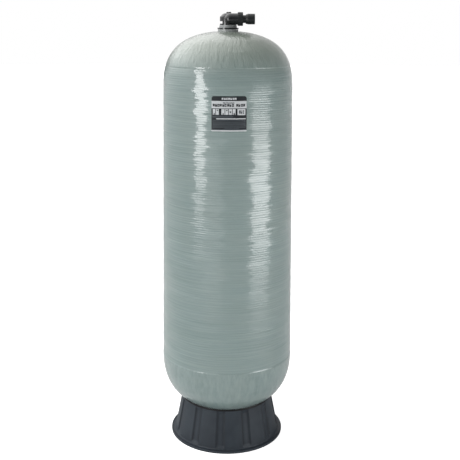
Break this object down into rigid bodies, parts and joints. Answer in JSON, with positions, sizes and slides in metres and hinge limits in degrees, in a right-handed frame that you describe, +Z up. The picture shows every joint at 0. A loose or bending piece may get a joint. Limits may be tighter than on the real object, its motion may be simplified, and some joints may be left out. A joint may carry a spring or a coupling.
{
  "type": "water treatment pressure tank",
  "caption": "Tall domed fibreglass water treatment tank on a flared fluted foot, with a screw-in top head that carries side-by-side union pipe connections.",
  "frame": {"origin": "on the tank's vertical axis at floor level", "axes": "+Z up along the tank's axis, +X the way both pipe connections point, -Y the front with the label"},
  "size_m": [0.618, 0.6185, 2.0303],
  "materials": {
    "fibreglass": "clear-coated filament winding, grey-green",
    "liner_plastic": "natural polyethylene",
    "foot_plastic": "moulded dark slate plastic, satin",
    "head_plastic": "moulded black plastic, glossy",
    "fitting_plastic": "moulded black plastic, satin",
    "neck_plastic": "moulded grey plastic",
    "label_sheet": "printed sheet, mostly black with white bands",
    "seal_rubber": "black nitrile",
    "pipe_plastic": "white PVC pipe and basket",
    "ring_plastic": "natural acetal"
  },
  "bodies": {
    "tank": {"tank_shell": "fibreglass", "tank_liner": "liner_plastic", "neck_insert": "neck_plastic", "tank_base": "foot_plastic", "front_label": "label_sheet", "riser_tube": "pipe_plastic", "distributor_hub": "pipe_plastic", "bottom_distributor": "pipe_plastic"},
    "head_seal": {"tank_o_ring": "seal_rubber"},
    "head": {"head_body": "head_plastic", "head_trim": "neck_plastic", "top_diffuser": "pipe_plastic", "riser_o_ring": "seal_rubber"},
    "plug_seal": {"vent_plug_o_ring": "seal_rubber"},
    "plug": {"vent_plug": "fitting_plastic"},
    "inlet_tail": {"inlet_tailpiece": "fitting_plastic", "inlet_o_ring": "seal_rubber", "inlet_split_ring": "ring_plastic", "inlet_coupling": "fitting_plastic"},
    "inlet_nut": {"inlet_union_nut": "fitting_plastic"},
    "outlet_tail": {"outlet_tailpiece": "fitting_plastic", "outlet_o_ring": "seal_rubber", "outlet_split_ring": "ring_plastic", "outlet_coupling": "fitting_plastic"},
    "outlet_nut": {"outlet_union_nut": "fitting_plastic"}
  },
  "joints": [
    {"name": "head_lift", "type": "slide", "parent": "tank", "child": "head_seal", "axis": [0, 0, 1], "range_m": [0, 0.0159]},
    {"name": "head_screw", "type": "hinge", "parent": "head_seal", "child": "head", "pos_m": [0, 0, 1.9515], "axis": [0, 0, 1], "range_deg": [0, 1800]},
    {"name": "plug_lift", "type": "slide", "parent": "head", "child": "plug_seal", "axis": [0, 0, 1], "range_m": [0, 0.00901]},
    {"name": "plug_screw", "type": "hinge", "parent": "plug_seal", "child": "plug", "pos_m": [0.003, 0, 2.0245], "axis": [0, 0, 1], "range_deg": [0, 2160]},
    {"name": "inlet_pull", "type": "slide", "parent": "head", "child": "inlet_tail", "axis": [1, 0, 0], "range_m": [0, 0.0159]},
    {"name": "inlet_nut_screw", "type": "hinge", "parent": "inlet_tail", "child": "inlet_nut", "pos_m": [0.058, -0.038, 1.9965], "axis": [1, 0, 0], "range_deg": [0, 1800]},
    {"name": "outlet_pull", "type": "slide", "parent": "head", "child": "outlet_tail", "axis": [1, 0, 0], "range_m": [0, 0.0159]},
    {"name": "outlet_nut_screw", "type": "hinge", "parent": "outlet_tail", "child": "outlet_nut", "pos_m": [0.058, 0.038, 1.9965], "axis": [1, 0, 0], "range_deg": [0, 1800]}
  ],
  "couplings": [
    {"joint": "head_lift", "follows": "head_screw", "m_per_rad": 0.00050532},
    {"joint": "plug_lift", "follows": "plug_screw", "m_per_rad": 0.00023873},
    {"joint": "inlet_pull", "follows": "inlet_nut_screw", "m_per_rad": 0.00050532},
    {"joint": "outlet_pull", "follows": "outlet_nut_screw", "m_per_rad": 0.00050532}
  ]
}
